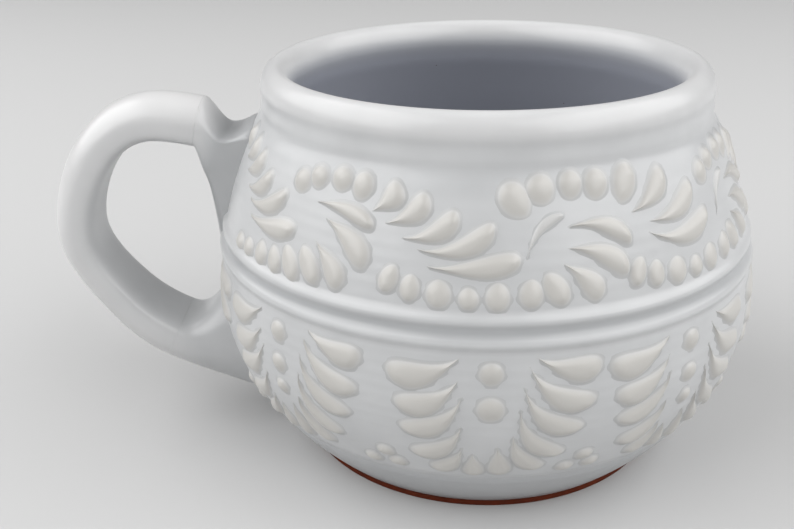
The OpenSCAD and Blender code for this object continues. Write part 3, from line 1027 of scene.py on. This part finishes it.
@dataclass(frozen=True)
class PulledHandle:
    """The pulled strap and the clay smeared over its two ends."""

    wall: ThrownWall
    top_joint: JointClay = JointClay(
        outer=3.0,
        inner=-35.0,
        wide=17.5,
        narrow=0.7,
        flare=2.8,
        pooled=0.55,
        step=(0.0, 0.45),
        saddle=2.4,
    )
    low_joint: JointClay = JointClay(
        outer=-15.5, inner=16.5, wide=22.0, narrow=0.0, flare=2.0, pooled=0.15
    )
    # Centre line: how far it reaches from the axis, its drop from the rim and its lower end's height
    reach: float = 90.2
    drop: float = 16.0
    low_share: float = 0.205
    # Thickness and width at the two ends of the centre line
    top_t: float = 11.0
    low_t: float = 9.4
    top_w: float = 14.4
    low_w: float = 17.0
    # Extra thickness and width of the strap's last third, and the shares over which they grow
    low_more: tuple[float, float] = (2.0, 2.5)
    low_from: tuple[float, float] = (0.55, 0.85)
    # The inner side's depth beside the outer's, and how square it is: power of the section's sine
    # and cosine, 1 being an ellipse
    inner_share: float = 0.8
    inner_power: float = 0.45
    # Places on the path where the strap leaves the upper joint and meets the lower one
    first_share: float = 0.075
    last_share: float = 0.82
    # Centre line: shares of the reach past the wall and of the height of the ends
    path_shares: Table = (
        (0, 1),
        (0.57, 1.062),
        (0.883, 0.878),
        (1, 0.543),
        (0.766, 0.244),
        (0.438, 0.062),
        (0, 0),
    )
    sides: int = 64
    strap_rings: int = 150
    joint_rings: int = 40
    # Rings of a joint's hidden cap, and the share to which they draw in
    cap_rings: int = 4
    cap_share: float = 0.2
    # The joints run this deep into the wall
    sunk: float = 0.15
    # How much thin white glaze and painted light the outer side has, and how much painted shade the
    # inner side has
    thin_glaze_and_light_above: float = 0.45
    painted_shade_below: float = 0.1
    # Share of a joint's rings by which the coat has gone over from the strap's to the joint's own
    coat_over: float = 0.4

    @property
    def top_z(self) -> float:
        """Height at which the centre line leaves the wall."""
        return self.wall.height - self.drop

    @property
    def low_z(self) -> float:
        """Height at which the centre line meets the wall again."""
        return self.wall.height * self.low_share

    @property
    def angles(self) -> np.ndarray:
        """Angles round a ring in radians, from the middle of the strap's outer side."""
        return np.linspace(0, 2 * np.pi, self.sides, endpoint=False)

    @property
    def outer_side(self) -> np.ndarray:
        """How far each point of a ring lies on the outer side: (1 + cos a) / 2."""
        return (1 + np.cos(self.angles)) / 2

    def path(self, share: np.ndarray) -> np.ndarray:
        """Centre line as a smooth curve through its points, each span a cubic (Catmull and Rom's).

        Args:
            share: shares of the way along.

        Returns:
            x away from the axis and z of each spot.
        """
        s = np.array(self.path_shares, float)
        half_way = 0.5
        low_root, top_root = self.wall.curve(self.low_z), self.wall.curve(self.top_z)
        root = np.where(s[:, 1] < half_way, low_root, top_root)
        z = self.low_z + (self.top_z - self.low_z) * s[:, 1]
        p = np.stack([root + (self.reach - root) * s[:, 0], z], axis=-1)
        p = np.concatenate([2 * p[:1] - p[1:2], p, 2 * p[-1:] - p[-2:-1]])
        spans = len(s) - 1
        i = np.minimum((share * spans).astype(int), spans - 1)
        t = (share * spans - i)[:, None]
        p0, p1, p2, p3 = (p[i + k] for k in range(4))
        return 0.5 * (
            2 * p1
            + (p2 - p0) * t
            + (2 * p0 - 5 * p1 + 4 * p2 - p3) * t**2
            + (3 * p1 - p0 - 3 * p2 + p3) * t**3
        )

    def strap(self, share: np.ndarray) -> np.ndarray:
        """Rings of the strap, square to the path: half an ellipse outside, flat and full inside.

        The inner half takes the power inner_power of the ellipse's sine and cosine.

        Args:
            share: shares of the way along.

        Returns:
            Rings of points, seen from the handle's own side.
        """
        along = self.along(share)
        centre = self.path(share)
        n, side = np.cos(self.angles), np.sin(self.angles)
        more = ramp(share[:, None], *self.low_from)
        thick = self.top_t + (self.low_t - self.top_t) * share[:, None] + self.low_more[0] * more
        wide = self.top_w + (self.low_w - self.top_w) * share[:, None] + self.low_more[1] * more
        full = -self.inner_share * np.abs(n) ** self.inner_power
        rise = thick / 2 * np.where(n > 0, n, full)
        across = np.where(n > 0, side, np.sign(side) * np.abs(side) ** self.inner_power)
        x = centre[:, :1] - along[:, 1:] * rise
        z = centre[:, 1:] + along[:, :1] * rise
        return np.stack([x, wide / 2 * across, z], axis=-1)

    def along(self, share: np.ndarray) -> np.ndarray:
        """Unit direction of the centre line, from spots a little ahead and behind.

        Args:
            share: shares of the way along.

        Returns:
            Its x and z at each.
        """
        step = 0.004
        ahead, behind = (self.path(np.clip(share + d, 0, 1)) for d in (step, -step))
        return (ahead - behind) / np.linalg.norm(ahead - behind, axis=1)[:, None]

    def on_root(self, y: np.ndarray, z: np.ndarray) -> np.ndarray:
        """Points a little inside the wall, seen from the handle's own side."""
        r = self.wall.radius(z) - self.sunk
        return np.stack([np.sqrt(r**2 - y**2), y, z], axis=-1)

    def root_ring(self, joint: JointClay, root_z: float, share: float) -> np.ndarray:
        """Outline of a joint on the wall: an oval whose inner half may narrow to a tail.

        Args:
            joint: the joint's sizes.
            root_z: height of the centre line on the wall.
            share: how far the ring is drawn in, 1 being the whole outline.

        Returns:
            One ring of points.
        """
        n = np.cos(self.angles)
        z = root_z + share * np.abs(n) * np.where(n > 0, joint.outer, joint.inner)
        tail = np.where(n > 0, 1, 1 - joint.narrow * n * n)
        return self.on_root(share * joint.wide / 2 * np.sin(self.angles) * tail, z)

    def joint(self, joint: JointClay, share: float, root_z: float) -> Surface:
        """Joint clay from the strap's end to the wall, with its flare close to the wall.

        At the share e of the way a point has gone evenly to the wall in x. In y and z it has gone
        e, or ramp(e), on the strap's outer side and e^flare on its inner side, and a mean of the two
        beside them. In z, (slope - rate) * e (1 - e)^2 makes it start in the strap's direction, and
        a band over the whole way lowers the outer side by the saddle.

        Args:
            joint: the joint's sizes.
            share: place of the strap's end along the path.
            root_z: height of the centre line on the wall.

        Returns:
            The closed joint.
        """
        start = self.strap(np.array([share]))[0]
        way = self.root_ring(joint, root_z, 1) - start
        run = self.along(np.array([share]))[0]
        e = held(np.linspace(0, 1, self.joint_rings))[:, None]
        outer_gone, rate = (ramp(e, *joint.step), 0.0) if joint.step else (e, self.outer_side)
        gone = self.outer_side * outer_gone + (1 - self.outer_side) * e**joint.flare
        x = start[:, 0] + way[:, 0] * e
        y = start[:, 1] + way[:, 1] * gone
        off = way[:, 0] * run[1] / run[0] - way[:, 2] * rate
        half_way = 0.5
        dip = joint.saddle * self.outer_side * band(e, half_way, half_way)
        z = start[:, 2] + way[:, 2] * gone + off * e * (1 - e) ** 2 - dip
        shares = np.linspace(1, self.cap_share, self.cap_rings)[1:]
        cap = [self.root_ring(joint, root_z, s) for s in shares]
        rings = np.concatenate([np.stack([x, y, z], axis=-1), cap])
        over = ramp(np.linspace(0, 1, len(rings)), 0, self.coat_over)[:, None]
        return self.turned(rings, over, joint.pooled)

    def turned(
        self, rings: np.ndarray, gone: np.ndarray | float = 0.0, pooled: float = 0.0
    ) -> Surface:
        """Closes rings that were made on +X, coats them and turns them half round to the handle.

        Args:
            rings: the rings' points.
            gone: how far each ring's coat has gone over from the strap's to the joint's.
            pooled: how much pooled glaze and painted shade the joint has.

        Returns:
            The closed surface.
        """
        placed = rings * np.array([-1, -1, 1])
        coat = np.zeros(placed.shape)
        # Painted shade on the strap's inner side, and thin glaze with painted light on its outer side
        below = self.painted_shade_below * (1 - self.outer_side)
        coat[..., 0] = below + (pooled - below) * gone
        coat[..., 1] = self.thin_glaze_and_light_above * self.outer_side * (1 - gone)
        return capped_rings(placed, coat, placed[[0, -1]].mean(axis=1))

    def nodes(self) -> dict[str, Surface]:
        """Works out the strap and both joints.

        Returns:
            The surfaces by CAD node.
        """
        spots = held(np.linspace(self.first_share, self.last_share, self.strap_rings))
        return {
            "handle": self.turned(self.strap(spots)),
            "handle_top_joint": self.joint(self.top_joint, self.first_share, self.top_z),
            "handle_bottom_joint": self.joint(self.low_joint, self.last_share, self.low_z),
        }


@dataclass(frozen=True)
class BareFoot:
    """The unglazed foot, with a worn bevel."""

    wall: ThrownWall
    # Its worn corner, and how far the glaze's edge stands out past it
    bevel: float = 0.15
    glaze_over: float = 0.05
    around: int = 256
    bevel_rows: int = 6

    def surface(self) -> Surface:
        """The foot turned round its axis: flat below, a quarter round, then straight up.

        Returns:
            The closed foot.
        """
        r = float(self.wall.curve(self.wall.foot_h)) - self.glaze_over
        t = np.linspace(-np.pi / 2, 0, self.bevel_rows)
        corner_r = r - self.bevel + self.bevel * np.cos(t)
        corner_z = self.bevel + self.bevel * np.sin(t)
        profile_r = np.concatenate([[r / 2], corner_r, [r, r / 2]])
        profile_z = np.concatenate([[0], corner_z, [self.wall.foot_h] * 2])
        turn = np.radians(np.linspace(0, 360, self.around, endpoint=False))
        rings = round_axis(profile_r[:, None], turn, profile_z[:, None])
        ends = np.array([[0, 0, 0], [0, 0, self.wall.foot_h]])
        return capped_rings(rings, np.zeros(rings.shape), ends)


def add_node(
    tree: bpy.types.NodeTree, kind: str, inputs: dict | None = None, **settings: str
) -> bpy.types.Node:
    """Adds one node with its inputs and settings.

    Args:
        tree: the node tree.
        kind: the node's type name without its ShaderNode prefix.
        inputs: by name or number of an input, its value or the output socket that feeds it.
        settings: values of the node's properties.

    Returns:
        The new node.
    """
    node = tree.nodes.new("ShaderNode" + kind)
    for key, value in settings.items():
        setattr(node, key, value)
    for key, value in (inputs or {}).items():
        if isinstance(value, bpy.types.NodeSocket):
            tree.links.new(value, node.inputs[key])
        else:
            node.inputs[key].default_value = value
    return node


@dataclass(frozen=True)
class Finish:
    """A fired finish or a plain one, as a material with a name."""

    name: str

    def tree(self) -> tuple[bpy.types.Material, bpy.types.NodeTree, bpy.types.Node]:
        """Makes an empty material.

        Returns:
            The material, its node tree and its Principled shader.
        """
        material = bpy.data.materials.new(self.name)
        material.use_nodes = True
        tree = material.node_tree
        return material, tree, tree.nodes["Principled BSDF"]


@dataclass(frozen=True)
class MilkyGlaze(Finish):
    """Glossy milky glaze fired over white slip on red earthenware.

    The glaze breaks white where it is thin, over slip and on the lip, and turns a cool grey-blue where
    it has pooled. The grey-blue also paints shade round the strokes, low on the wall and on the handle,
    the white paints light on the handle's outer side, and a darker colour paints shade inside. Its IOR
    is that of a lead-free earthenware glaze.
    """

    base: str = "bfc0c1"
    # The pooled glaze's grey-blue also paints shade, and the thin white also paints light on the
    # handle's outer side
    pooled: str = "9c9ea0"
    thin: str = "dddbda"
    # The inside's colour is painted shade: the same glaze drawn darker
    inside: str = "a0a3ac"
    speck: str = "5a4a44"
    roughness: float = 0.3
    ior: float = 1.55
    # Cloudy patches: width, noise detail, the noise that counts as none and as all, and their share
    cloud_mm: float = 9.0
    cloud_detail: float = 3.0
    cloud_from: float = 0.35
    cloud_to: float = 0.75
    cloud_share: float = 0.18
    # Ripples in the gloss: width, noise detail and height
    ripple_mm: float = 3.0
    ripple_detail: float = 2.0
    ripple_h: float = 0.02
    # Iron specks: how far apart their cells lie, their radius and the share of cells with one
    speck_cell_mm: float = 11.0
    speck_mm: float = 0.16
    speck_share: float = 0.2

    def material(self) -> bpy.types.Material:
        """Colours mixed one after another, by clouds, the coat attribute and specks, with ripples.

        Returns:
            The material.
        """
        material, tree, shader = self.tree()
        place = add_node(tree, "TexCoord").outputs["Object"]
        coat = add_node(tree, "Attribute", attribute_name=COAT).outputs["Color"]
        share = add_node(tree, "SeparateColor", {"Color": coat}).outputs
        patches = {"Vector": place, "Scale": 1 / (self.cloud_mm * MM), "Detail": self.cloud_detail}
        patch = add_node(tree, "TexNoise", patches).outputs["Fac"]
        spread = {"From Min": self.cloud_from, "From Max": self.cloud_to, "To Max": self.cloud_share}
        cloud = add_node(tree, "MapRange", {"Value": patch, **spread}).outputs["Result"]
        colour = linear(self.base)
        # Red mixes in pooled glaze and painted shade, green thin glaze, slip and painted light, blue
        # painted shade inside
        for part, over in (
            (cloud, self.pooled),
            (share["Red"], self.pooled),
            (share["Green"], self.thin),
            (share["Blue"], self.inside),
            (self.specks(tree, place), self.speck),
        ):
            mixed = {MIX_SHARE: part, MIX_FIRST: colour, MIX_SECOND: linear(over)}
            colour = add_node(tree, "Mix", mixed, data_type="RGBA").outputs[MIX_RESULT]
        waves = {"Vector": place, "Scale": 1 / (self.ripple_mm * MM), "Detail": self.ripple_detail}
        ripple = add_node(tree, "TexNoise", waves).outputs["Fac"]
        bump = add_node(tree, "Bump", {"Height": ripple, "Distance": self.ripple_h * MM})
        tree.links.new(colour, shader.inputs["Base Color"])
        tree.links.new(bump.outputs["Normal"], shader.inputs["Normal"])
        shader.inputs["Roughness"].default_value = self.roughness
        shader.inputs["IOR"].default_value = self.ior
        return material

    def specks(self, tree: bpy.types.NodeTree, place: bpy.types.NodeSocket) -> bpy.types.NodeSocket:
        """Iron specks: a spot round the middle of some of a Voronoi pattern's cells.

        Args:
            tree: the node tree.
            place: socket of the Object coordinates.

        Returns:
            Socket of 1 on a speck and 0 elsewhere.
        """
        pattern = {"Vector": place, "Scale": 1 / (self.speck_cell_mm * MM)}
        cells = add_node(tree, "TexVoronoi", pattern).outputs
        pick = add_node(tree, "SeparateColor", {"Color": cells["Color"]}).outputs["Red"]
        tests = (
            (cells["Distance"], self.speck_mm / self.speck_cell_mm),
            (pick, self.speck_share),
        )
        small, rare = (
            add_node(tree, "Math", {0: value, 1: limit}, operation="LESS_THAN").outputs[0]
            for value, limit in tests
        )
        return add_node(tree, "Math", {0: small, 1: rare}, operation="MULTIPLY").outputs[0]


@dataclass(frozen=True)
class GlazedSlip(MilkyGlaze):
    """White slip trailed on thick, under the same glaze.

    The slip is warmer than the glaze, and the ridges of its trail break the gloss in fine ripples.
    """

    thin: str = "bab8b4"
    ripple_mm: float = 0.8
    roughness: float = 0.36


@dataclass(frozen=True)
class Terracotta(Finish):
    """Bare red earthenware, fired and left unglazed: matt, sandy, darker where it was wiped, and drawn
    darker still with painted shade from the belly above the foot.
    """

    # Both clay colours are darker than the clay's own red: they carry painted shade under the belly's
    # overhang
    pale: str = "6a2a12"
    dark: str = "3a1407"
    roughness: float = 0.85
    specular: float = 0.2
    # Width of the wiped patches and of the grit, and the grit's height
    patch_mm: float = 2.5
    grit_mm: float = 0.4
    grit_h: float = 0.05

    def material(self) -> bpy.types.Material:
        """Two clay colours in patches, with a gritty bump.

        Returns:
            The material.
        """
        material, tree, shader = self.tree()
        place = add_node(tree, "TexCoord").outputs["Object"]
        patch, grit = (
            add_node(tree, "TexNoise", {"Vector": place, "Scale": 1 / (wide * MM)}).outputs["Fac"]
            for wide in (self.patch_mm, self.grit_mm)
        )
        mixed = {MIX_SHARE: patch, MIX_FIRST: linear(self.pale), MIX_SECOND: linear(self.dark)}
        colour = add_node(tree, "Mix", mixed, data_type="RGBA").outputs[MIX_RESULT]
        bump = add_node(tree, "Bump", {"Height": grit, "Distance": self.grit_h * MM})
        tree.links.new(colour, shader.inputs["Base Color"])
        tree.links.new(bump.outputs["Normal"], shader.inputs["Normal"])
        shader.inputs["Roughness"].default_value = self.roughness
        shader.inputs["Specular IOR Level"].default_value = self.specular
        return material


@dataclass(frozen=True)
class MattPaper(Finish):
    """Matt background paper, off-white, so rough that it gives no reflection."""

    colour: str = "c1c1c1"
    roughness: float = 0.95

    def material(self) -> bpy.types.Material:
        """One even colour.

        Returns:
            The material.
        """
        material, _, shader = self.tree()
        shader.inputs["Base Color"].default_value = linear(self.colour)
        shader.inputs["Roughness"].default_value = self.roughness
        return material


@dataclass(frozen=True)
class Softbox:
    """A soft rectangular lamp that looks at the mug, placed by angle, elevation and distance.

    Its sizes are in metres, and its angle counts from the front as on the mug.
    """

    name: str
    angle: float
    elevation: float
    wide: float
    radiance: float
    tall: float = 1.0
    distance: float = 1.0

    def build(self, target: Vector) -> None:
        """Makes the lamp: its power is pi times its radiance times its area.

        Args:
            target: the point that it looks at.
        """
        lamp = bpy.data.lights.new(self.name, "AREA")
        lamp.shape = "RECTANGLE"
        lamp.size = self.wide
        lamp.size_y = self.tall
        lamp.energy = np.pi * self.radiance * self.wide * self.tall
        thing = bpy.data.objects.new(self.name, lamp)
        turn, up = np.radians(self.angle), np.radians(self.elevation)
        away = Vector((np.sin(turn) * np.cos(up), -np.cos(turn) * np.cos(up), np.sin(up)))
        thing.location = target + away * self.distance
        thing.rotation_euler = away.to_track_quat("Z", "Y").to_euler()
        bpy.context.scene.collection.objects.link(thing)


@dataclass(frozen=True)
class Studio:
    """Pale floor, soft lamps and the camera of the photograph, in metres."""

    floor_size: float = 1.9
    target: tuple[float, float, float] = (0.0, 0.0, 0.045)
    sky: str = "b8b8b8"
    backdrop: str = "e0e0e0"
    sky_strength: float = 0.48
    # Where the camera stands, its turn to the right, its dip and its tilt, its lens and nearest sight
    camera_place: tuple[float, float, float] = (-0.01484, -0.21217, 0.13156)
    camera_yaw: float = -1.17
    camera_dip: float = 24.09
    camera_roll: float = -0.94
    lens: float = 45.79
    clip_start: float = 0.01
    lamps: tuple[Softbox, ...] = (
        Softbox("left softbox", angle=-82, elevation=38, wide=1.65, radiance=2.7),
        Softbox("right softbox", angle=70, elevation=38, wide=1.75, radiance=2.5),
        Softbox("top softbox", angle=180, elevation=80, wide=1.2, radiance=0.3, tall=0.9, distance=0.9),
    )

    def build(self) -> None:
        """Builds the floor, the lamps, the sky and the camera."""
        self.floor()
        for lamp in self.lamps:
            lamp.build(Vector(self.target))
        self.world()
        self.camera()
        bpy.context.scene.view_settings.view_transform = "Standard"

    def floor(self) -> None:
        """A flat sheet of paper under the mug."""
        half = self.floor_size / 2
        corners = [(-half, -half, 0), (half, -half, 0), (half, half, 0), (-half, half, 0)]
        mesh = bpy.data.meshes.new("paper floor")
        mesh.from_pydata(corners, [], [(0, 1, 2, 3)])
        mesh.materials.append(MattPaper("matt white paper").material())
        paper = bpy.data.objects.new("paper floor", mesh)
        bpy.context.scene.collection.objects.link(paper)

    def world(self) -> None:
        """An even grey sky that lights the mug, and a pale one where the camera sees it."""
        world = bpy.data.worlds.new("studio walls")
        world.use_nodes = True
        tree = world.node_tree
        sky = tree.nodes["Background"]
        sky.inputs["Color"].default_value = linear(self.sky)
        sky.inputs["Strength"].default_value = self.sky_strength
        seen = add_node(tree, "Background", {"Color": linear(self.backdrop)}).outputs[0]
        by_camera = add_node(tree, "LightPath").outputs["Is Camera Ray"]
        both = add_node(tree, "MixShader", {0: by_camera, 1: sky.outputs[0], 2: seen})
        tree.links.new(both.outputs[0], tree.nodes["World Output"].inputs["Surface"])
        bpy.context.scene.world = world

    def camera(self) -> None:
        """The photograph's camera: it looks along its yaw and dip, then tilts about that line."""
        yaw, dip, roll = np.radians([self.camera_yaw, self.camera_dip, self.camera_roll])
        ahead = Vector((np.sin(yaw) * np.cos(dip), np.cos(yaw) * np.cos(dip), -np.sin(dip)))
        level = Vector((np.cos(yaw), -np.sin(yaw), 0))
        up = level.cross(ahead)
        across = level * np.cos(roll) + up * np.sin(roll)
        upright = up * np.cos(roll) - level * np.sin(roll)
        data = bpy.data.cameras.new("camera")
        data.lens = self.lens
        data.clip_start = self.clip_start
        camera = bpy.data.objects.new("camera", data)
        turn = Matrix((across, upright, -ahead)).transposed().to_4x4()
        camera.matrix_world = Matrix.Translation(self.camera_place) @ turn
        bpy.context.scene.collection.objects.link(camera)
        bpy.context.scene.camera = camera


def main() -> None:
    """Builds every piece of the mug and the studio round it."""
    logging.basicConfig(level=logging.INFO, format="%(message)s")
    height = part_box("cup_wall")[1].z / MM
    wall = ThrownWall(height=height)
    glaze = MilkyGlaze("milky earthenware glaze").material()
    slip = GlazedSlip("glazed white slip").material()
    clay = Terracotta("bare terracotta").material()
    rows = {**ScrollFrieze(wall).nodes(), **PalmetteFrieze(wall).nodes()}
    strokes = [stroke for row in rows.values() for stroke in row]
    make_piece("thrown_wall", wall.surface(strokes), glaze, ["cup_wall"])
    make_piece("bare_foot", BareFoot(wall).surface(), clay, ["foot"])
    for node, surface in PulledHandle(wall).nodes().items():
        make_piece(f"pulled_{node}", surface, glaze, [node])
    for node, row in rows.items():
        surface = joined([stroke.surface(wall) for stroke in row])
        make_piece(f"trailed_{node}", surface, slip, [node])
    Studio().build()


if __name__ == "__main__":
    main()
